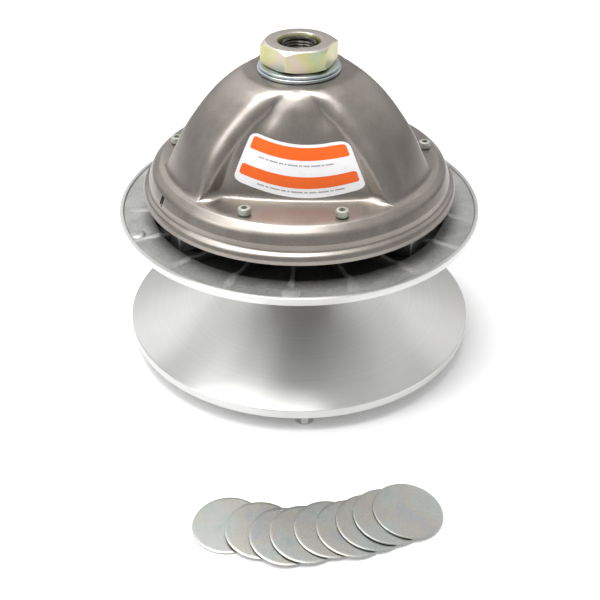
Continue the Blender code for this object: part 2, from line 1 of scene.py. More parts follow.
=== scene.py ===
"""Looks of the drive pulley set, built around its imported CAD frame.

Lengths are in millimetres in the constants and become metres in the meshes. The pulley's axis is +Z, z = 0 is the
floor, and the middle of the cover's front recess points along -Y. The sheaves, shaft, spring, cover, fasteners and
discs are rebuilt here at a finer step than in the CAD, on its dimensions, but the cover's rolled rim is rounder.
"""

import math

import bmesh
import bpy
import numpy as np
from mathutils import Matrix, Vector


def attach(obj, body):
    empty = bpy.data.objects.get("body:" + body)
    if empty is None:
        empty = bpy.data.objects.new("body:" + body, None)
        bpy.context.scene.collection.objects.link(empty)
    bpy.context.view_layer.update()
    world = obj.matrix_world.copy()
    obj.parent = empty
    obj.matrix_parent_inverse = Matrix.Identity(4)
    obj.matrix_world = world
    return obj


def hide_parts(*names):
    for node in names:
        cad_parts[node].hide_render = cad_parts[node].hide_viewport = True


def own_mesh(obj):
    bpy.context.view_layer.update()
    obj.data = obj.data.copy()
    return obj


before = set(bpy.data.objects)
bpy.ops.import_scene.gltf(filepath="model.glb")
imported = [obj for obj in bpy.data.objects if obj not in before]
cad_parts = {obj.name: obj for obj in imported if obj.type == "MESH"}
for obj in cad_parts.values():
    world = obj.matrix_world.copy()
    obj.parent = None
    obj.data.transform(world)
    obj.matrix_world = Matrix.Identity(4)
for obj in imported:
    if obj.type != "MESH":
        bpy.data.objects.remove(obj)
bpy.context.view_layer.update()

MM = 0.001
FINE = 192

# Dimensions shared with the CAD
SHEAVE_RADIUS = 108.0
MOVABLE_RADIUS = 107.5
BELT_SLOPE = math.tan(math.radians(14.0))
FIXED_RIM_TOP = 15.0
FIXED_RIM_BOTTOM = 9.2
MOVABLE_RIM_BOTTOM = 86.9
MOVABLE_RIM_TOP = 91.1
CAST_RING_INNER = 88.2
CAST_RING_TOP = 89.7
RIB_COUNT = 18
BACK_RIB_COUNT = 9
BACK_RIB_SECTIONS = (  # radius, low, high, half width
    (28.0, 6.2, 26.0, 2.6),
    (40.0, 6.2, 25.5, 2.1),
    (60.0, 6.4, 21.0, 2.0),
    (84.0, 8.6, 15.2, 2.0),
    (96.0, 9.8, 11.3, 2.3),
)
FOOT_RADIUS = 97.0
FOOT_ANGLE = -85.7
PAD_TOP = 94.7
SHAFT_RADIUS = 20.0
SHAFT_NECK_RADIUS = 14.0
THREAD_RADIUS = 11.0
BORE_RADIUS = 8.65
SHAFT_SHOULDER = 95.0
SHAFT_TOP = 187.5
TOWER_INNER = 28.0
TOWER_OUTER = 33.5
TOWER_TOP = 150.0
SPRING_FOOT = 98.6
SPRING_WIRE = 4.2
SPRING_RADIUS = 23.9
SPRING_TURNS = 5
CAP_SCREW_CIRCLE = 30.75
DOME_TOP = 172.4
DOME_SHEET = 2.2
DOME_FLANGE = 119.6
LOBE_HALF_WIDTH = 24.8
LOBE_AXES = (90.0, 210.0, 330.0)
RECESS_AXES = (-90.0, 30.0, 150.0)
EDGE_ROUNDING = 7.5
FOOT_ROUNDING = 4.5
FLATNESS = ((0.0, -1.0), (36.0, -1.0), (47.0, 0.45), (56.0, 0.75), (80.0, 0.75))
CREST = (
    (0.0, 172.4),
    (30.0, 172.4),
    (36.0, 170.8),
    (43.0, 166.8),
    (51.0, 160.0),
    (60.0, 150.4),
    (66.0, 142.6),
    (71.0, 134.0),
    (76.0, 124.0),
    (81.0, 112.0),
)
RECESS = (
    (0.0, 172.4),
    (26.0, 172.4),
    (32.0, 171.2),
    (38.0, 166.0),
    (42.0, 159.0),
    (46.0, 150.2),
    (50.0, 139.5),
    (53.0, 128.5),
    (56.0, 114.0),
)
COVER_SCREW_CIRCLE = 75.3
COVER_SCREW_SPREAD = 20.0
RECESS_BLEND = 9.0
CREST_BLEND = 4.0
SLOT_ANGLE = 212.0
NUT_ACROSS_FLATS = 38.0
NUT_BOTTOM = 176.5
NUT_TOP = 188.8
NUT_TURN = -107.5
DISC_RADIUS = 18.35
DISC_THICKNESS = 0.8
DISC_GAP = 0.3
DISC_CENTRES = (
    (-28.2, -178.6),
    (-11.2, -182.2),
    (1.3, -185.9),
    (11.5, -184.5),
    (23.4, -180.7),
    (34.5, -179.6),
    (44.4, -175.5),
    (53.0, -171.4),
    (63.1, -167.2),
)


# ---------------------------------------------------------------- node helpers


class Look:
    """A procedural material on one Principled shader, built a node at a time. Textures read object coordinates."""

    def __init__(self, name, colour, metallic, roughness, **fixed):
        self.material = bpy.data.materials.new(name)
        self.material.use_nodes = True
        self.tree = self.material.node_tree
        self.shader = self.tree.nodes["Principled BSDF"]
        self.coords = self.tree.nodes.new("ShaderNodeTexCoord").outputs["Object"]
        self.set(self.shader.inputs["Base Color"], colour)
        self.set(self.shader.inputs["Metallic"], metallic)
        self.set(self.shader.inputs["Roughness"], roughness)
        for socket, value in fixed.items():
            self.shader.inputs[socket.replace("_", " ")].default_value = value

    def set(self, socket, value):
        if isinstance(value, bpy.types.NodeSocket):
            self.tree.links.new(value, socket)
        elif isinstance(value, (tuple, list)) and len(value) == 3 and socket.type == "RGBA":
            socket.default_value = (*value, 1.0)
        else:
            socket.default_value = value

    def node(self, kind, inputs, output=0, **settings):
        made = self.tree.nodes.new(kind)
        for key, value in settings.items():
            setattr(made, key, value)
        for key, value in inputs.items():
            self.set(made.inputs[key], value)
        return made.outputs[output]

    def stretched(self, x, y, z):
        """Object coordinates, scaled."""
        return self.node("ShaderNodeVectorMath", {0: self.coords, 1: (x, y, z)}, operation="MULTIPLY")

    def radius(self):
        """Distance from the Z axis, in metres."""
        flat = self.stretched(1.0, 1.0, 0.0)
        return self.node("ShaderNodeVectorMath", {0: flat}, output=1, operation="LENGTH")

    def math(self, operation, a, b=0.0):
        return self.node("ShaderNodeMath", {0: a, 1: b}, operation=operation)

    def noise(self, scale, detail=3.0, rough=0.5, distort=0.0, vector=None):
        values = {"Scale": scale, "Detail": detail, "Roughness": rough, "Distortion": distort}
        values["Vector"] = self.coords if vector is None else vector
        return self.node("ShaderNodeTexNoise", values)

    def rings(self, per_metre):
        """Noise that changes only with the distance from the Z axis, as tool marks do."""
        values = {"W": self.math("MULTIPLY", self.radius(), per_metre), "Scale": 1.0, "Detail": 2.0}
        return self.node("ShaderNodeTexNoise", values, noise_dimensions="1D")

    def span(self, value, low, high, to_low, to_high):
        """The value moved from one range to another, and held inside it."""
        values = {0: value, 1: low, 2: high, 3: to_low, 4: to_high}
        return self.node("ShaderNodeMapRange", values)

    def ramp(self, value, stops):
        """A colour ramp through (position, colour) stops."""
        made = self.tree.nodes.new("ShaderNodeValToRGB")
        self.set(made.inputs[0], value)
        elements = made.color_ramp.elements
        while len(elements) < len(stops):
            elements.new(0.5)
        for element, (position, colour) in zip(elements, stops):
            element.position = position
            element.color = (*colour, 1.0)
        return made.outputs[0]

    def blend(self, factor, a, b, mode="MIX"):
        made = self.tree.nodes.new("ShaderNodeMix")
        made.data_type = "RGBA"
        made.blend_type = mode
        self.set(made.inputs["Factor"], factor)
        self.set(made.inputs[6], a)
        self.set(made.inputs[7], b)
        return made.outputs[2]

    def colour(self, value):
        self.set(self.shader.inputs["Base Color"], value)

    def roughness(self, value):
        self.set(self.shader.inputs["Roughness"], value)

    def bump(self, height, distance, strength=1.0, under=None):
        values = {"Height": height, "Distance": distance, "Strength": strength}
        if under is not None:
            values["Normal"] = under
        out = self.node("ShaderNodeBump", values)
        self.set(self.shader.inputs["Normal"], out)
        return out

    def around(self):
        """Grooves run round the Z axis, for an anisotropic highlight."""
        tangent = self.node("ShaderNodeTangent", {}, direction_type="RADIAL", axis="Z")
        self.set(self.shader.inputs["Tangent"], tangent)

    def edge_wear(self, base, worn, amount=0.6):
        """Convex edges rubbed brighter."""
        point = self.tree.nodes.new("ShaderNodeNewGeometry").outputs["Pointiness"]
        rubbed = self.span(point, 0.51, 0.56, 0.0, amount)
        return self.blend(rubbed, base, worn)


def turned_aluminium():
    """Fine concentric tool marks: the highlight spreads across them, as radial streaks."""
    look = Look("turned_aluminium", (0.70, 0.70, 0.69), 1.0, 0.32, Anisotropic=0.85, Anisotropic_Rotation=0.25)
    marks = look.rings(600.0)
    bright = look.ramp(marks, [(0.3, (0.685, 0.685, 0.675)), (0.7, (0.715, 0.715, 0.705))])
    stain = look.span(look.noise(16.0, 2.0, 0.5), 0.60, 0.78, 0.0, 0.22)
    look.colour(look.blend(stain, bright, (0.62, 0.59, 0.51)))
    smudge = look.span(look.noise(24.0, 2.0, 0.5), 0.3, 0.7, 0.29, 0.36)
    look.roughness(look.math("ADD", smudge, look.span(marks, 0.3, 0.7, -0.01, 0.01)))
    look.around()
    return look.material


def cast_aluminium(name="cast_aluminium", shade=1.0):
    look = Look(name, (0.5, 0.5, 0.49), 0.85, 0.5)
    broad = look.noise(45.0, 4.0, 0.6)
    grain = look.noise(700.0, 4.0, 0.65)
    pits = look.noise(2300.0, 2.0, 0.5)
    tone = look.ramp(broad, [(0.32, (0.36, 0.36, 0.355)), (0.52, (0.45, 0.45, 0.44)), (0.72, (0.54, 0.535, 0.525))])
    # shade below 1 darkens the whole look, as painted shade.
    speck = look.ramp(grain, [(0.35, (0.78 * shade, 0.78 * shade, 0.77 * shade)), (0.65, (shade, shade, shade))])
    cast = look.blend(1.0, tone, speck, "MULTIPLY")
    look.colour(look.edge_wear(cast, (0.70, 0.70, 0.69), 0.45))
    look.roughness(look.span(grain, 0.3, 0.7, 0.42, 0.58))
    first = look.bump(grain, 0.00014, 0.6)
    look.bump(pits, 0.00005, 0.4, first)
    return look.material


def satin_steel():
    """Pressed sheet, blasted to a fine satin grain, with faint drawing marks and a few darker clouds."""
    look = Look("satin_steel", (0.46, 0.43, 0.40), 1.0, 0.42)
    broad = look.noise(26.0, 3.0, 0.55)
    drawn = look.noise(130.0, 3.0, 0.55, 0.0, look.stretched(1.0, 1.0, 0.3))
    grain = look.noise(1300.0, 4.0, 0.7)
    tone = look.ramp(broad, [(0.3, (0.335, 0.305, 0.275)), (0.7, (0.415, 0.38, 0.345))])
    streak = look.ramp(drawn, [(0.3, (0.93, 0.93, 0.92)), (0.7, (1.0, 1.0, 1.0))])
    speck = look.ramp(grain, [(0.3, (0.80, 0.80, 0.80)), (0.7, (1.0, 1.0, 1.0))])
    steel = look.blend(1.0, look.blend(1.0, tone, streak, "MULTIPLY"), speck, "MULTIPLY")
    look.colour(look.edge_wear(steel, (0.56, 0.53, 0.49), 0.2))
    rough = look.math("ADD", look.span(drawn, 0.3, 0.7, 0.35, 0.41), look.span(grain, 0.3, 0.7, -0.03, 0.03))
    look.roughness(rough)
    look.bump(grain, 0.00004, 0.6)
    return look.material


def plated(name, tones, roughness, scale=60.0, grain_scale=1400.0, metallic=1.0, strength=0.5, top=None):
    """A plated metal whose colour wanders between a few tones. top is (low, high, tone), for a change with height."""
    look = Look(name, tones[0], metallic, roughness)
    wander = look.noise(scale, 3.0, 0.55, 0.8)
    low, high = 0.34, 0.66
    stops = [(low + (high - low) * i / (len(tones) - 1), tone) for i, tone in enumerate(tones)]
    grain = look.noise(grain_scale, 3.0, 0.6)
    shade = 1.0 - 0.16 * strength
    speck = look.ramp(grain, [(0.3, (shade, shade, shade)), (0.7, (1.0, 1.0, 1.0))])
    plate = look.blend(1.0, look.ramp(wander, stops), speck, "MULTIPLY")
    if top is not None:
        height = look.node("ShaderNodeSeparateXYZ", {0: look.coords}, output=2)
        plate = look.blend(look.span(height, top[0], top[1], 0.0, 0.85), plate, top[2])
    look.colour(plate)
    look.roughness(look.span(grain, 0.3, 0.7, roughness - 0.05, roughness + 0.06))
    look.bump(grain, 0.00002, strength)
    return look.material


def turned_steel(name, tone, roughness):
    look = Look(name, tone, 1.0, roughness, Anisotropic=0.5, Anisotropic_Rotation=0.25)
    marks = look.noise(900.0, 4.0, 0.6, 0.0, look.stretched(0.08, 0.08, 1.0))
    dark = tuple(0.82 * value for value in tone)
    look.colour(look.ramp(marks, [(0.3, dark), (0.7, tone)]))
    look.roughness(look.span(marks, 0.3, 0.7, roughness - 0.04, roughness + 0.05))
    look.around()
    look.bump(marks, 0.00002, 0.4)
    return look.material


def polymer(name, tone, roughness, grain_scale=900.0):
    look = Look(name, tone, 0.0, roughness)
    grain = look.noise(grain_scale, 3.0, 0.6)
    lighter = tuple(min(1.0, 1.35 * value + 0.01) for value in tone)
    look.colour(look.ramp(grain, [(0.3, tone), (0.7, lighter)]))
    look.roughness(look.span(grain, 0.3, 0.7, roughness - 0.06, roughness + 0.08))
    look.bump(grain, 0.00002, 0.5)
    return look.material


def printed(name, tone, roughness=0.34):
    """Printed vinyl film: an even colour with a faint unevenness in its gloss."""
    look = Look(name, tone, 0.0, roughness, Coat_Weight=0.25, Coat_Roughness=0.2)
    film = look.noise(260.0, 3.0, 0.5)
    darker = tuple(0.95 * value for value in tone)
    look.colour(look.ramp(film, [(0.3, darker), (0.7, tone)]))
    look.roughness(look.span(film, 0.3, 0.7, roughness - 0.05, roughness + 0.06))
    look.bump(film, 0.00002, 0.2)
    return look.material


LOOKS = {
    "turned_aluminium": turned_aluminium(),
    "cast_aluminium": cast_aluminium(),
    # cast_shade is the cast look darkened to 0.45: painted shade for the cavities under the cover.
    "cast_shade": cast_aluminium("cast_shade", 0.45),
    # oiled_steel is near black; on the shaft's threaded bore it is painted shade.
    "oiled_steel": plated("oiled_steel", [(0.10, 0.095, 0.085), (0.16, 0.15, 0.135)], 0.30, 120.0),
    "satin_steel": satin_steel(),
    "machined_steel": turned_steel("machined_steel", (0.56, 0.56, 0.57), 0.30),
    "zinc_plate": plated("zinc_plate", [(0.52, 0.60, 0.63), (0.64, 0.70, 0.72), (0.60, 0.64, 0.60)], 0.34),
    "yellow_zinc": plated(
        "yellow_zinc",
        [(0.42, 0.52, 0.36), (0.54, 0.53, 0.27), (0.60, 0.57, 0.34), (0.66, 0.54, 0.46), (0.50, 0.60, 0.48)],
        0.34,
        38.0,
        top=(0.1878, 0.1885, (0.66, 0.60, 0.57)),
    ),
    "screw_plate": plated("screw_plate", [(0.34, 0.36, 0.30), (0.46, 0.47, 0.41)], 0.55, 300.0, 2200.0, 0.5),
    "black_steel": plated("black_steel", [(0.05, 0.05, 0.05), (0.09, 0.09, 0.10)], 0.42, 200.0, 1800.0, 0.9),
    "spring_steel": plated("spring_steel", [(0.25, 0.26, 0.28), (0.34, 0.35, 0.36)], 0.34, 120.0),
    "bronze": plated("bronze", [(0.50, 0.33, 0.15), (0.60, 0.42, 0.22)], 0.36, 120.0),
    "bearing_polymer": polymer("bearing_polymer", (0.035, 0.035, 0.037), 0.45),
    "disc_steel": plated(
        "disc_steel",
        [(0.41, 0.45, 0.43), (0.47, 0.49, 0.47), (0.48, 0.465, 0.42), (0.43, 0.44, 0.455)],
        0.30,
        32.0,
        2600.0,
        1.0,
        0.08,
    ),
}


# ---------------------------------------------------------------- mesh helpers


def polar(radius, degrees, height=0.0):
    angle = math.radians(degrees)
    return Vector((radius * math.cos(angle), radius * math.sin(angle), height))


def around_z(degrees):
    return Matrix.Rotation(math.radians(degrees), 4, "Z")


def at(radius, degrees, height=0.0):
    return Matrix.Translation(polar(radius, degrees, height) * MM) @ around_z(degrees)


def rounded(corners, steps=4):
    """A profile of (radius, height) points from (radius, height, fillet) corners, each fillet as an arc."""
    out = []
    count = len(corners)
    for index, corner in enumerate(corners):
        here = np.array(corner[:2], float)
        fillet = corner[2] if len(corner) > 2 else 0.0
        back = np.array(corners[index - 1][:2], float) - here
        ahead = np.array(corners[(index + 1) % count][:2], float) - here
        back_length, ahead_length = np.linalg.norm(back), np.linalg.norm(ahead)
        if fillet <= 0.0:
            out.append(tuple(here))
            continue
        back, ahead = back / back_length, ahead / ahead_length
        half = math.acos(float(np.clip(back @ ahead, -1.0, 1.0))) / 2.0
        if half > math.pi / 2.0 - 0.01:
            out.append(tuple(here))
            continue
        reach = min(fillet / math.tan(half), 0.49 * back_length, 0.49 * ahead_length)
        middle = here + (back + ahead) / np.linalg.norm(back + ahead) * reach / math.cos(half)
        start, end = here + back * reach - middle, here + ahead * reach - middle
        sweep = math.pi - 2.0 * half
        for step in range(steps + 1):
            share = step / steps
            arm = math.sin((1.0 - share) * sweep) * start + math.sin(share * sweep) * end
            out.append(tuple(middle + arm / math.sin(sweep)))
    return out


def new_mesh(name, points, faces, sharp=35.0):
    mesh = bpy.data.meshes.new(name)
    mesh.from_pydata([tuple(p) for p in points], [], faces)
    bm = bmesh.new()
    bm.from_mesh(mesh)
    bmesh.ops.remove_doubles(bm, verts=bm.verts[:], dist=1e-7)
    bmesh.ops.recalc_face_normals(bm, faces=bm.faces[:])
    bm.to_mesh(mesh)
    bm.free()
    mesh.shade_smooth()
    mesh.set_sharp_from_angle(angle=math.radians(sharp))
    return mesh


def new_object(name, mesh):
    obj = bpy.data.objects.new(name, mesh)
    bpy.context.scene.collection.objects.link(obj)
    return obj


def lathe_data(profile, steps=FINE, shape=None):
    """Vertices and faces of a closed profile turned about Z. shape moves (radius, height) by angle in turns."""
    points, faces = [], []
    count = len(profile)
    for step in range(steps):
        turn = step / steps
        for radius, height in profile:
            if shape is not None:
                radius, height = shape(radius, height, turn)
            points.append(polar(radius, 360.0 * turn, height) * MM)
    for step in range(steps):
        here, there = step * count, (step + 1) % steps * count
        for index in range(count):
            after = (index + 1) % count
            faces.append((here + index, there + index, there + after, here + after))
    return points, faces


def lathe(name, profile, steps=FINE, shape=None, sharp=35.0):
    return new_object(name, new_mesh(name, *lathe_data(profile, steps, shape), sharp))


def settle(obj, sharp=35.0):
    """Applies an object's modifiers to its mesh."""
    graph = bpy.context.evaluated_depsgraph_get()
    mesh = bpy.data.meshes.new_from_object(obj.evaluated_get(graph))
    obj.modifiers.clear()
    obj.data = mesh
    mesh.shade_smooth()
    mesh.set_sharp_from_angle(angle=math.radians(sharp))
    return obj


def combine(obj, tool, operation):
    """Joins or cuts one mesh with another for good, and removes the other."""
    modifier = obj.modifiers.new("combine", "BOOLEAN")
    modifier.operation = operation
    modifier.object = tool
    modifier.solver = "EXACT"
    bpy.context.view_layer.update()
    settle(obj)
    bpy.data.objects.remove(tool, do_unlink=True)
    return obj


def block(bm, low, high, place=None, bevel=0.0):
    """A box between two corners, with rounded edges."""
    size = Vector(high) - Vector(low)
    centre = (Vector(high) + Vector(low)) / 2.0
    matrix = Matrix.Translation(centre * MM) @ Matrix.Diagonal((*(size * MM), 1.0))
    made = bmesh.ops.create_cube(bm, size=1.0, matrix=matrix)
    verts = made["verts"]
    if bevel > 0.0:
        edges = list({edge for vert in verts for edge in vert.link_edges})
        result = bmesh.ops.bevel(bm, geom=edges, offset=bevel * MM, segments=3, profile=0.5, affect="EDGES")
        verts = list({vert for face in result["faces"] for vert in face.verts} | {v for v in verts if v.is_valid})
    if place is not None:
        bmesh.ops.transform(bm, matrix=place, verts=verts)


def post(bm, corners, place, steps=40):
    """A turned solid from its (radius, height) outline up the outer side, closed at both ends on its axis."""
    rings = []
    for radius, height in corners:
        ring = [bm.verts.new(place @ (polar(radius, 360.0 * step / steps, height) * MM)) for step in range(steps)]
        rings.append(ring)
    for low, high in zip(rings, rings[1:]):
        for step in range(steps):
            after = (step + 1) % steps
            bm.faces.new((low[step], low[after], high[after], high[step]))
    bm.faces.new(list(reversed(rings[0])))
    bm.faces.new(rings[-1])


def loft(bm, sections):
    """A closed solid through sections of equal length."""
    rings = [[bm.verts.new(point) for point in section] for section in sections]
    count = len(rings[0])
    for one, other in zip(rings, rings[1:]):
        for index in range(count):
            after = (index + 1) % count
            bm.faces.new((one[index], one[after], other[after], other[index]))
    bm.faces.new(list(reversed(rings[0])))
    bm.faces.new(rings[-1])


def from_bmesh(name, bm, sharp=35.0):
    bmesh.ops.recalc_face_normals(bm, faces=bm.faces[:])
    mesh = bpy.data.meshes.new(name)
    bm.to_mesh(mesh)
    bm.free()
    mesh.shade_smooth()
    mesh.set_sharp_from_angle(angle=math.radians(sharp))
    return new_object(name, mesh)


def finish_piece(obj, look, body, *nodes):
    """Gives a piece its material and its body, and hides the CAD nodes that it stands for."""
    obj.data.materials.clear()
    obj.data.materials.append(LOOKS[look])
    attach(obj, body)
    if nodes:
        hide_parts(*nodes)
    return obj


def second_material(obj, look, chosen, index=1):
    """Puts a further material on the faces that chosen(centre, normal) picks, in millimetres."""
    obj.data.materials.append(LOOKS[look])
    for face in obj.data.polygons:
        if chosen(face.center / MM, face.normal):
            face.material_index = index


# ---------------------------------------------------------------- sheaves and shaft


def fixed_belt_face(radius):
    return FIXED_RIM_TOP + (SHEAVE_RADIUS - radius) * BELT_SLOPE


def movable_belt_face(radius):
    return MOVABLE_RIM_BOTTOM - (MOVABLE_RADIUS - radius) * BELT_SLOPE


def scribe(obj, radius, angle, low, high):
    """A fine timing line cut across a rim."""
    bm = bmesh.new()
    block(bm, (radius - 0.35, -0.22, low), (radius + 1.0, 0.22, high), around_z(angle))
    combine(obj, from_bmesh("scribe_tool", bm), "DIFFERENCE")


def make_fixed_sheave():
    bore = SHAFT_RADIUS + 0.3
    corners = [
        (bore, fixed_belt_face(bore), 0.3),
        (SHEAVE_RADIUS, FIXED_RIM_TOP, 0.7),
        (SHEAVE_RADIUS, FIXED_RIM_BOTTOM, 0.8),
        (99.0, FIXED_RIM_BOTTOM, 1.0),
        (93.0, 11.4, 3.0),
        (40.0, 24.6, 4.0),
        (31.0, 23.0, 3.0),
        (31.0, 0.0, 0.8),
        (bore, 0.0, 0.5),
    ]
    sheave = lathe("fixed_sheave_skin", rounded(corners))
    bm = bmesh.new()
    for index in range(BACK_RIB_COUNT):
        turn = around_z(FOOT_ANGLE + index * 360.0 / BACK_RIB_COUNT)
        sections = []
        for radius, low, high, half in BACK_RIB_SECTIONS:
            section = [(radius, -half * 1.35, high), (radius, -half * 0.8, low + 0.6), (radius, -half * 0.3, low)]
            section += [(radius, half * 0.3, low), (radius, half * 0.8, low + 0.6), (radius, half * 1.35, high)]
            sections.append([turn @ (Vector(point) * MM) for point in section])
        loft(bm, sections)
    combine(sheave, from_bmesh("back_rib_tool", bm), "UNION")
    bm = bmesh.new()
    foot = [(5.2, 0.0), (5.65, 0.15), (5.8, 0.6), (6.6, 7.2), (7.2, 8.6), (8.0, 9.4), (8.0, 11.2)]
    for index in range(3):
        post(bm, foot, at(FOOT_RADIUS, FOOT_ANGLE + index * 120.0))
    combine(sheave, from_bmesh("foot_tool", bm), "UNION")
    bm = bmesh.new()
    for index in range(3):
        post(bm, [(2.1, -1.0), (2.1, 6.0)], at(FOOT_RADIUS, FOOT_ANGLE + index * 120.0), 24)
    combine(sheave, from_bmesh("foot_hole_tool", bm), "DIFFERENCE")
    scribe(sheave, SHEAVE_RADIUS, -92.6, 10.5, 15.5)
    finish_piece(sheave, "turned_aluminium", "root", "fixed_sheave")
    second_material(sheave, "cast_aluminium", lambda c, n: n.z < 0.3 and math.hypot(c.x, c.y) < 103.0 and c.z < 27.0)


def rib_section(radius, half, top, bottom):
    """Half-round topped section of a sheave rib at a radius."""
    points = [(radius, -half * 1.5, bottom), (radius, -half, top - 0.9), (radius, -half * 0.6, top - 0.2)]
    points += [(radius, 0.0, top), (radius, half * 0.6, top - 0.2), (radius, half, top - 0.9)]
    return points + [(radius, half * 1.5, bottom)]


def make_movable_sheave():
    bush_bore = 23.3
    corners = [
        (TOWER_INNER, TOWER_TOP, 0.3),
        (TOWER_OUTER, TOWER_TOP, 0.8),
        (TOWER_OUTER, movable_belt_face(TOWER_OUTER) + 6.0, 4.0),
        (CAST_RING_INNER - 1.2, movable_belt_face(CAST_RING_INNER) + 3.6, 3.0),
        (CAST_RING_INNER, CAST_RING_TOP, 1.1),
        (104.9, 90.1, 0.2),
        (105.5, MOVABLE_RIM_TOP, 0.15),
        (MOVABLE_RADIUS, MOVABLE_RIM_TOP, 0.35),
        (MOVABLE_RADIUS, MOVABLE_RIM_BOTTOM, 0.4),
        (bush_bore, movable_belt_face(bush_bore), 0.4),
        (bush_bore, 93.0, 0.3),
        (TOWER_INNER, 93.0, 0.8),
    ]
    sheave = lathe("movable_sheave_skin", rounded(corners))
    bm = bmesh.new()
    for index in range(RIB_COUNT):
        turn = around_z(index * 20.0 + 10.0)
        sections = []
        for radius, half, top in (
            (31.5, 1.6, 89.4),
            (60.0, 1.2, 89.2),
            (78.0, 1.15, 88.7),
            (84.0, 1.2, 88.9),
            (87.0, 1.6, 89.8),
            (88.8, 2.2, 90.4),
            (90.6, 2.9, 90.3),
            (92.6, 3.2, 89.7),
        ):
            bottom = movable_belt_face(radius) + 2.0
            sections.append([turn @ (Vector(point) * MM) for point in rib_section(radius, half, top, bottom)])
        loft(bm, sections)
    combine(sheave, from_bmesh("rib_tool", bm), "UNION")
    bm = bmesh.new()
    for axis in LOBE_AXES:
        block(bm, (TOWER_OUTER - 2.0, -16.0, 84.0), (84.0, 16.0, PAD_TOP), around_z(axis), 0.8)
    combine(sheave, from_bmesh("pad_tool", bm), "UNION")
    bm = bmesh.new()
    post(bm, [(5.2, 88.5), (5.2, 90.0), (5.0, 90.22), (4.7, 90.28)], at(100.8, -89.8))
    post(bm, [(4.9, 88.5), (4.9, 89.9), (4.2, 90.5), (3.0, 90.95), (1.2, 91.1)], at(101.2, -153.3))
    combine(sheave, from_bmesh("mark_tool", bm), "UNION")
    scribe(sheave, MOVABLE_RADIUS, -91.2, 86.0, 92.0)
    finish_piece(sheave, "cast_aluminium", "movable_sheave", "movable_sheave")

    def machined(centre, normal):
        radius = math.hypot(centre.x, centre.y)
        on_rim = radius > 105.2 and centre.z < 92.0
        on_belt_face = radius > 24.0 and centre.z < movable_belt_face(radius) + 0.6
        return on_rim or on_belt_face

    # Cavity faces between the ribs, under the cover, get the darkened cast_shade copy as painted shade.
    def painted_shade_faces(centre, normal):
        radius = math.hypot(centre.x, centre.y)
        return TOWER_OUTER - 1.0 < radius < 88.0 and movable_belt_face(radius) + 1.0 < centre.z < 88.2

    second_material(sheave, "turned_aluminium", machined)
    second_material(sheave, "cast_shade", painted_shade_faces, 2)


def make_shaft():
    thread_low, thread_high = 158.0, 186.2
    pitch, depth = 1.6, 0.7
    corners = [
        (THREAD_RADIUS, SHAFT_TOP, 0.9),
        (THREAD_RADIUS, DOME_TOP - DOME_SHEET - 0.3),
        (SHAFT_NECK_RADIUS, DOME_TOP - DOME_SHEET - 0.3, 0.6),
        (SHAFT_NECK_RADIUS, SHAFT_SHOULDER),
        (SHAFT_RADIUS, SHAFT_SHOULDER, 0.8),
        (SHAFT_RADIUS, 0.0, 0.8),
        (15.0, 0.0, 0.5),
        (12.5, 50.0),
        (BORE_RADIUS, 50.0),
    ]
    profile = rounded(corners)
    heights = np.arange(thread_low, thread_high, pitch / 8.0)
    profile += [(BORE_RADIUS, float(height)) for height in heights]
    profile += [(BORE_RADIUS, thread_high + 0.3), (BORE_RADIUS + 0.8, SHAFT_TOP)]

    def threaded(radius, height, turn):
        if abs(radius - BORE_RADIUS) > 1e-6 or not thread_low < height < thread_high:
            return radius, height
        phase = (height / pitch - turn) % 1.0
        return radius + depth * (1.0 - abs(2.0 * phase - 1.0)) ** 0.8, height

    shaft = lathe("shaft_turned", profile, 96, threaded, 60.0)
    finish_piece(shaft, "machined_steel", "root", "shaft")
    # The threaded bore is coloured near black, as painted shade.
    second_material(shaft, "oiled_steel", lambda c, n: math.hypot(c.x, c.y) < 10.3 and c.z > 100.0)


def make_spring():
    """The spring's coil. It hangs from the tower cap, and goes with the movable sheave's body."""
    low, high = SPRING_FOOT + SPRING_WIRE / 2.0, TOWER_TOP - SPRING_WIRE / 2.0
    sides, count = 16, SPRING_TURNS * 48
    points, faces = [], []
    for step in range(count + 1):
        turn = 360.0 * SPRING_TURNS * step / count
        height = low + (high - low) * step / count
        for side in range(sides):
            angle = math.tau * side / sides
            out = SPRING_RADIUS + SPRING_WIRE / 2.0 * math.cos(angle)
            points.append(polar(out, turn, height + SPRING_WIRE / 2.0 * math.sin(angle)) * MM)
    for step in range(count):
        here, there = step * sides, (step + 1) * sides
        for side in range(sides):
            after = (side + 1) % sides
            faces.append((here + side, there + side, there + after, here + after))
    faces.append(tuple(range(sides)))
    faces.append(tuple(count * sides + side for side in reversed(range(sides))))
    coil = new_object("clutch_spring_coil", new_mesh("clutch_spring_coil", points, faces, 60.0))
    finish_piece(coil, "spring_steel", "movable_sheave", "clutch_spring")
    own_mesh(coil)


# ---------------------------------------------------------------- cover


def smooth_max(a, b, blend):
    overlap = max(blend - abs(a - b), 0.0) / blend
    return max(a, b) + overlap * overlap * blend / 4.0


def along(profile, radius):
    """Height of a smooth curve through the points of a profile, level with their slopes where it turns."""
    if radius >= profile[-1][0]:
        (r0, z0), (r1, z1) = profile[-2:]
        return z1 + (radius - r1) * (z1 - z0) / (r1 - r0)
    slopes = [(b[1] - a[1]) / (b[0] - a[0]) for a, b in zip(profile, profile[1:])]
    tangents = [slopes[0]]
    for before, after in zip(slopes, slopes[1:]):
        tangents.append(0.0 if before * after <= 0.0 else 2.0 * before * after / (before + after))
    tangents.append(slopes[-1])
    index = max(i for i in range(len(slopes)) if profile[i][0] <= radius)
    (r0, z0), (r1, z1) = profile[index : index + 2]
    width = r1 - r0
    t = (radius - r0) / width
    value = (2 * t**3 - 3 * t**2 + 1) * z0 + (3 * t**2 - 2 * t**3) * z1
    return value + width * ((t**3 - 2 * t**2 + t) * tangents[index] + (t**3 - t**2) * tangents[index + 1])


def quarter_round(distance, radius):
    s = min(max(distance / radius, 0.0), 1.0)
    return 1.0 - math.sqrt(1.0 - (1.0 - s) ** 2)


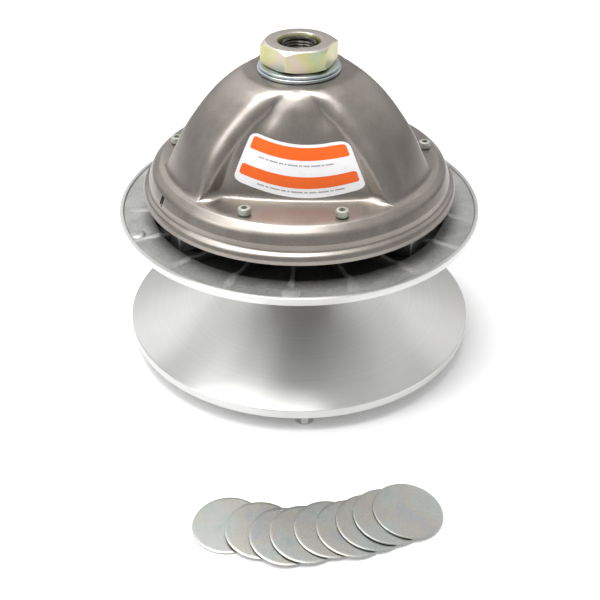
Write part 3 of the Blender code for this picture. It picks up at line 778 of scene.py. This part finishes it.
def recess_height(radius, angle):
    """Height of the recess floor at an angle from a lobe's axis. Low down it is flatter than a cone."""
    bulge = math.cos(math.radians(60.0 - angle)) ** along(FLATNESS, radius)
    return min(smooth_max(along(RECESS, radius * bulge), DOME_FLANGE, RECESS_BLEND), DOME_TOP)


def cover_height(radius, angle, inside=None):
    """Height of the cover's outer surface at an angle from a lobe's axis. inside settles which side of the lobe's
    wall a point on it is."""
    crest = min(smooth_max(along(CREST, radius), DOME_FLANGE, CREST_BLEND), DOME_TOP)
    edge = math.degrees(math.asin(min(LOBE_HALF_WIDTH / radius, 1.0)))
    wall = max(crest - recess_height(radius, edge), 0.0)
    distance = LOBE_HALF_WIDTH - radius * math.sin(math.radians(angle))
    if distance > 0.0 if inside is None else inside:
        return crest - min(EDGE_ROUNDING, 0.6 * wall) * quarter_round(distance, EDGE_ROUNDING)
    rise = min(FOOT_ROUNDING, 0.4 * wall) * quarter_round(-distance, FOOT_ROUNDING)
    return min(recess_height(radius, angle), crest) + rise


def cover_lines():
    """Grid lines across half a lobe: distance from its axis, and share of the way down its wall or None off it."""
    lines = [(step * 2.2, None) for step in range(8)]
    for degrees in (0.0, 12.0, 24.0, 36.0, 48.0, 60.0, 70.0, 80.0):
        lines.append((LOBE_HALF_WIDTH - EDGE_ROUNDING * (1.0 - math.sin(math.radians(degrees))), None))
    lines += [(LOBE_HALF_WIDTH, share / 6.0) for share in range(7)]
    for degrees in (80.0, 68.0, 56.0, 44.0, 30.0, 15.0, 0.0):
        lines.append((LOBE_HALF_WIDTH + FOOT_ROUNDING * (1.0 - math.sin(math.radians(degrees))), None))
    return lines


def cover_point(radius, axis, angle, share):
    """A point of the cover's outer surface at an angle from a lobe's axis, in metres."""
    if share is None:
        height = cover_height(radius, abs(angle))
    else:
        top = cover_height(radius, abs(angle), True)
        height = top + (cover_height(radius, abs(angle), False) - top) * share
    return polar(radius, axis + angle, height) * MM


def cover_ring(radius):
    lines = cover_lines()
    count = len(lines)
    half_sector = []
    for index, (across, share) in enumerate(lines):
        limit = 54.0 * index / (count - 1)
        angle = math.degrees(math.asin(min(across / radius, 1.0)))
        held = angle > limit
        half_sector.append((min(angle, limit), None if held else share))
    last = half_sector[-1][0]
    steps = 14
    half_sector += [(last + (60.0 - last) * step / steps, None) for step in range(1, steps + 1)]
    ring = []
    for axis in LOBE_AXES:
        ring += [cover_point(radius, axis, -angle, share) for angle, share in reversed(half_sector[1:-1])]
        ring += [cover_point(radius, axis, angle, share) for angle, share in half_sector]
    return ring


def make_dome():
    crown = [11.4, 16.0, 20.0, 23.0, 25.0] + [26.0 + 0.9 * step for step in range(60)]
    rings = [cover_ring(radius) for radius in crown if radius < 79.2]
    flat = [math.degrees(math.atan2(p.y, p.x)) for p in rings[-1]]
    rim = [
        (79.2, DOME_FLANGE),
        (81.6, 119.3, 3.0),
        (86.0, 116.2, 6.0),
        (88.2, 111.2, 2.5),
        (88.8, 107.6, 1.6),
        (91.4, 106.4, 2.2),
        (92.4, 104.0, 1.4),
        (92.4, 101.8),
    ]
    outline = rounded(rim, 6)
    for radius, height in outline[1:]:
        rings.append([polar(radius, angle, height) * MM for angle in flat])
    count = len(rings[0])
    points = [point for ring in rings for point in ring]
    faces = []
    for ring in range(len(rings) - 1):
        for index in range(count):
            after = (index + 1) % count
            here, there = ring * count, (ring + 1) * count
            faces.append((here + index, there + index, there + after, here + after))
    dome = new_object("dome_shell", new_mesh("dome_shell", points, faces, 80.0))
    sheet = dome.modifiers.new("sheet", "SOLIDIFY")
    sheet.thickness = DOME_SHEET * MM
    sheet.offset = -1.0
    settle(dome, 50.0)
    bm = bmesh.new()
    block(bm, (80.0, -1.9, 109.6), (96.0, 1.9, 115.2), around_z(SLOT_ANGLE), 0.7)
    combine(dome, from_bmesh("slot_tool", bm), "DIFFERENCE")
    dome.data.set_sharp_from_angle(angle=math.radians(50.0))
    finish_piece(dome, "satin_steel", "root", "dome_cover")


# ---------------------------------------------------------------- fasteners


def hexagon(radius, turn=0.0):
    return [polar(radius, turn + 60.0 * side) for side in range(6)]


def screw_mesh(name, head_radius, head_height, shank_radius, shank_length):
    """A socket-head cap screw standing on z = 0, with a recessed hexagon."""
    flat = head_radius * 0.52
    outline = [
        (shank_radius * 0.7, -shank_length),
        (shank_radius, -shank_length + 0.5),
        (shank_radius, 0.0),
        (head_radius - 0.25, 0.0),
        (head_radius, 0.25),
        (head_radius, head_height - 0.55),
        (head_radius - 0.12, head_height - 0.22),
        (head_radius - 0.45, head_height),
        (flat * 1.12, head_height),
    ]
    bm = bmesh.new()
    post(bm, outline, Matrix.Identity(4), 36)
    screw = from_bmesh(name, bm)
    bm = bmesh.new()
    low, high = head_height * 0.35, head_height + 1.0
    loft(bm, [[(point + Vector((0.0, 0.0, z))) * MM for point in hexagon(flat)] for z in (low, high)])
    combine(screw, from_bmesh(name + "_socket", bm), "DIFFERENCE")
    return screw


def place_screws(pattern, names, places, look, body):
    """Copies of one screw, each as its own piece."""
    for name, place in zip(names, places):
        mesh = pattern.data.copy()
        mesh.transform(place)
        finish_piece(new_object(name + "_turned", mesh), look, body, name)
    bpy.data.objects.remove(pattern, do_unlink=True)


def make_screws():
    places = []
    turns = (11.0, 47.0, 23.0, 5.0, 38.0, 52.0)
    angles = [axis + side * COVER_SCREW_SPREAD for axis in RECESS_AXES for side in (-1.0, 1.0)]
    for angle, turn in zip(angles, turns):
        places.append(at(COVER_SCREW_CIRCLE, angle, DOME_FLANGE + 0.3) @ around_z(turn))
    pattern = screw_mesh("cover_screw_pattern", 3.5, 3.7, 2.0, 8.0)
    place_screws(pattern, [f"cover_screw_{i}" for i in range(1, 7)], places, "screw_plate", "root")
    places = [at(CAP_SCREW_CIRCLE, axis, 154.6) for axis in LOBE_AXES]
    pattern = screw_mesh("cap_screw_pattern", 2.9, 2.6, 1.6, 12.0)
    place_screws(pattern, [f"cap_screw_{i}" for i in range(1, 4)], places, "black_steel", "movable_sheave")


def make_nut_stack():
    bore = THREAD_RADIUS + 0.3
    for name, outer, low, high in (("flat_washer", 23.5, 172.65, 174.4), ("spring_washer", 22.7, 174.65, 176.25)):
        corners = [(bore, high, 0.2), (outer, high, 0.5), (outer, low, 0.5), (bore, low, 0.2)]
        finish_piece(lathe(name + "_turned", rounded(corners)), "zinc_plate", "root", name)
    corner = NUT_ACROSS_FLATS / 2.0 / math.cos(math.radians(30.0))
    bm = bmesh.new()
    rounding = 0.7
    section = []
    for side in range(6):
        middle = NUT_TURN + 60.0 * side
        reach = corner - rounding / math.cos(math.radians(30.0))
        for step in range(5):
            tip = polar(reach, middle) + polar(rounding, middle - 30.0 + 15.0 * step)
            section.append(tip)
    heights = (NUT_BOTTOM, NUT_TOP)
    loft(bm, [[(point + Vector((0.0, 0.0, z))) * MM for point in section] for z in heights])
    nut = from_bmesh("top_nut_forged", bm)
    chamfer_radius = NUT_ACROSS_FLATS / 2.0 - 0.6
    drop = (corner + 0.5 - chamfer_radius) * math.tan(math.radians(27.0))
    corners = [
        (bore + 0.1, NUT_TOP - 2.0),
        (12.3, NUT_TOP + 0.01, 0.3),
        (chamfer_radius, NUT_TOP + 0.01, 0.8),
        (corner + 0.5, NUT_TOP - drop),
        (corner + 0.5, NUT_BOTTOM + drop),
        (chamfer_radius, NUT_BOTTOM - 0.01, 0.8),
        (12.3, NUT_BOTTOM - 0.01, 0.3),
        (bore + 0.1, NUT_BOTTOM + 2.0),
    ]
    combine(nut, lathe("nut_turning", rounded(corners)), "INTERSECT")
    finish_piece(nut, "yellow_zinc", "root", "top_nut")


# ---------------------------------------------------------------- discs


def disc_slopes():
    width = 2.0 * DISC_RADIUS
    rise = DISC_THICKNESS + DISC_GAP
    slopes = [0.0]
    for before, this in zip(DISC_CENTRES, DISC_CENTRES[1:]):
        pitch = this[0] - before[0]
        on_edge = rise / pitch
        on_face = slopes[-1] * (1.0 - pitch / width) + rise / width
        slopes.append(max(on_edge, on_face))
    return slopes


def make_discs():
    half = DISC_THICKNESS / 2.0
    outline = [(DISC_RADIUS - 1.6, -half), (DISC_RADIUS - 0.45, -half), (DISC_RADIUS - 0.1, -half + 0.12)]
    outline += [(DISC_RADIUS, -half + 0.35), (DISC_RADIUS, half - 0.25), (DISC_RADIUS - 0.12, half - 0.06)]
    outline += [(DISC_RADIUS - 0.35, half), (DISC_RADIUS - 1.6, half)]
    for index, (centre, slope) in enumerate(zip(DISC_CENTRES, disc_slopes())):
        angle = math.atan(slope)
        height = DISC_RADIUS * math.sin(angle) + half * math.cos(angle)
        place = Matrix.Translation(Vector((centre[0], centre[1], height)) * MM) @ Matrix.Rotation(angle, 4, "Y")
        bm = bmesh.new()
        post(bm, outline, place, 128)
        name = f"tuning_disc_{index + 1}"
        finish_piece(from_bmesh(name + "_blanked", bm, 30.0), "disc_steel", name, name)


# ---------------------------------------------------------------- sticker

STICKER_MIDDLE = 1.7
STICKER_HALF_TOP = 30.5
STICKER_HALF_FOOT = 35.4


def recess_radius(height, angle):
    """Radius at which the front recess reaches a height, at an angle from its middle, as if it had no lobes."""
    low, high = 30.0, 70.0
    for _ in range(40):
        middle = (low + high) / 2.0
        if cover_height(middle, 60.0 - abs(angle), False) > height:
            low = middle
        else:
            high = middle
    return low


def sticker_spot(u, v, lift):
    """A spot on the front recess: u from -1 to 1 across the sticker, v from 0 to 1 down it, lift off the sheet."""
    angle = STICKER_MIDDLE + u * (STICKER_HALF_TOP + (STICKER_HALF_FOOT - STICKER_HALF_TOP) * v)
    top = 148.5 + 3.4 * (u - 0.24) ** 2
    foot = 121.2 + 6.5 * (u - 0.136) ** 2
    height = top + (foot - top) * v
    radius = recess_radius(height, angle)
    step = 0.5
    here = polar(radius, angle - 90.0, height)
    down = polar(recess_radius(height - step, angle), angle - 90.0, height - step) - here
    side = polar(recess_radius(height, angle + step), angle + step - 90.0, height) - here
    return here + side.cross(-down).normalized() * lift


def sticker_patch(name, outline, lift, thickness, look, columns=44, rows=24):
    """A thin closed patch on the recess; outline(s, t) gives (u, v) for s and t from 0 to 1."""
    top, low = [], []
    for row in range(rows + 1):
        for column in range(columns + 1):
            u, v = outline(column / columns, row / rows)
            top.append(sticker_spot(u, v, lift + thickness) * MM)
            low.append(sticker_spot(u, v, lift) * MM)
    across = columns + 1
    faces = []
    offset = len(top)
    for row in range(rows):
        for column in range(columns):
            a = row * across + column
            quad = (a, a + 1, a + 1 + across, a + across)
            faces.append(quad)
            faces.append(tuple(offset + i for i in reversed(quad)))
    edge = [column for column in range(across)]
    edge += [row * across + columns for row in range(1, rows + 1)]
    edge += [rows * across + column for column in range(columns - 1, -1, -1)]
    edge += [row * across for row in range(rows - 1, 0, -1)]
    for a, b in zip(edge, edge[1:] + edge[:1]):
        faces.append((b, a, offset + a, offset + b))
    patch = new_object(name, new_mesh(name, top + low, faces, 50.0))
    patch.data.materials.append(look)
    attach(patch, "root")
    return patch


def strip(u0, u1, v0, v1, corner_u=0.0, corner_v=0.0):
    """An outline for sticker_patch: a band with corners cut round."""

    def outline(s, t):
        v = v0 + (v1 - v0) * t
        inset = 0.0
        for edge in (v - v0, v1 - v):
            if corner_v > 0.0 and edge < corner_v:
                inset = corner_u * (1.0 - math.sqrt(max(0.0, 1.0 - (1.0 - edge / corner_v) ** 2)))
        return u0 + inset + (u1 - u0 - 2.0 * inset) * s, v

    return outline


def make_sticker():
    """A plain two-band sticker. Rows of short dashes stand for its small print."""
    white = printed("sticker_white", (0.95, 0.95, 0.96))
    orange = printed("sticker_orange", (0.95, 0.14, 0.008))
    grey = printed("sticker_grey", (0.40, 0.40, 0.42))
    sticker_patch("sticker_film", strip(-1.0, 1.0, 0.0, 1.0, 0.10, 0.13), 0.06, 0.12, white, 60, 40)
    for index, (u0, u1, v0, v1) in enumerate(((-0.93, 0.94, 0.055, 0.290), (-0.955, 0.955, 0.600, 0.825))):
        sticker_patch(f"sticker_band_{index + 1}", strip(u0, u1, v0, v1, 0.03, 0.04), 0.19, 0.04, orange, 60, 12)
    dashes = (0.11, 0.05, 0.16, 0.08, 0.04, 0.19, 0.06, 0.12, 0.17, 0.05, 0.14)
    space = 0.022
    for row, (left, v0) in enumerate(((-0.74, 0.375), (-0.66, 0.885))):
        u0 = left
        for index, dash in enumerate(dashes):
            name = f"sticker_dash_{row + 1}_{index + 1}"
            sticker_patch(name, strip(u0, u0 + dash, v0, v0 + 0.026), 0.19, 0.03, grey, 6, 2)
            u0 += dash + space


# ---------------------------------------------------------------- build


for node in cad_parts.values():
    for slot in node.material_slots:
        if slot.material is not None:
            base = slot.material.name.split(".")[0]
            if base in LOOKS:
                slot.material = LOOKS[base]

make_fixed_sheave()
make_movable_sheave()
make_shaft()
make_spring()
make_dome()
make_screws()
make_nut_stack()
make_discs()
make_sticker()


# ---------------------------------------------------------------- studio


def aim(obj, target):
    direction = Vector(target) - obj.location
    obj.rotation_euler = direction.to_track_quat("-Z", "Y").to_euler()


def soft_light(name, location, target, width, height, power, colour=(1.0, 1.0, 1.0)):
    light = bpy.data.lights.new(name, "AREA")
    light.shape = "RECTANGLE"
    light.size = width
    light.size_y = height
    light.energy = power
    light.color = colour
    obj = bpy.data.objects.new(name, light)
    obj.location = location
    bpy.context.scene.collection.objects.link(obj)
    aim(obj, target)


def make_studio():
    floor_mesh = bpy.data.meshes.new("studio_floor")
    side = 4.0
    corners = [(-side, -side, 0.0), (side, -side, 0.0), (side, side, 0.0), (-side, side, 0.0)]
    floor_mesh.from_pydata(corners, [], [(0, 1, 2, 3)])
    floor = new_object("studio_floor", floor_mesh)
    floor.location.z = -0.0003
    paper = Look("paper", (0.9, 0.9, 0.9), 0.0, 0.9)
    paper.shader.inputs["Specular IOR Level"].default_value = 0.1
    paper.shader.inputs["Emission Color"].default_value = (1.0, 1.0, 1.0, 1.0)
    paper.shader.inputs["Emission Strength"].default_value = 0.12
    floor.data.materials.append(paper.material)

    world = bpy.data.worlds.new("studio")
    world.use_nodes = True
    nodes, links = world.node_tree.nodes, world.node_tree.links
    coords = nodes.new("ShaderNodeTexCoord")
    split = nodes.new("ShaderNodeSeparateXYZ")
    ramp = nodes.new("ShaderNodeValToRGB")
    links.new(coords.outputs["Generated"], split.inputs[0])
    links.new(split.outputs["Z"], ramp.inputs[0])
    links.new(ramp.outputs[0], nodes["Background"].inputs["Color"])
    ramp.color_ramp.elements[0].position = 0.05
    ramp.color_ramp.elements[0].color = (0.30, 0.30, 0.30, 1.0)
    ramp.color_ramp.elements[1].position = 0.85
    ramp.color_ramp.elements[1].color = (0.70, 0.70, 0.70, 1.0)
    bpy.context.scene.world = world

    soft_light("overhead", (-0.18, 0.0, 1.15), (0.0, 0.0, 0.08), 0.8, 0.7, 12.5)
    soft_light("left", (-0.85, -0.45, 0.95), (0.0, 0.0, 0.08), 0.5, 0.5, 4.0)
    soft_light("back_left", (-0.75, 0.95, 0.80), (0.0, 0.0, 0.05), 1.0, 0.7, 1.7)
    soft_light("back_right", (0.75, 0.95, 0.80), (0.0, 0.0, 0.05), 1.0, 0.7, 1.2)

    camera = bpy.data.objects.new("camera", bpy.data.cameras.new("camera"))
    camera.location = (0.0222, -0.4977, 0.3668)
    camera.rotation_euler = (math.radians(54.763), 0.0, math.radians(2.5))
    camera.data.lens = 56.0
    camera.data.sensor_width = 36.0
    camera.data.clip_start = 0.01
    bpy.context.scene.collection.objects.link(camera)
    bpy.context.scene.camera = camera
    bpy.context.scene.view_settings.view_transform = "Standard"


make_studio()
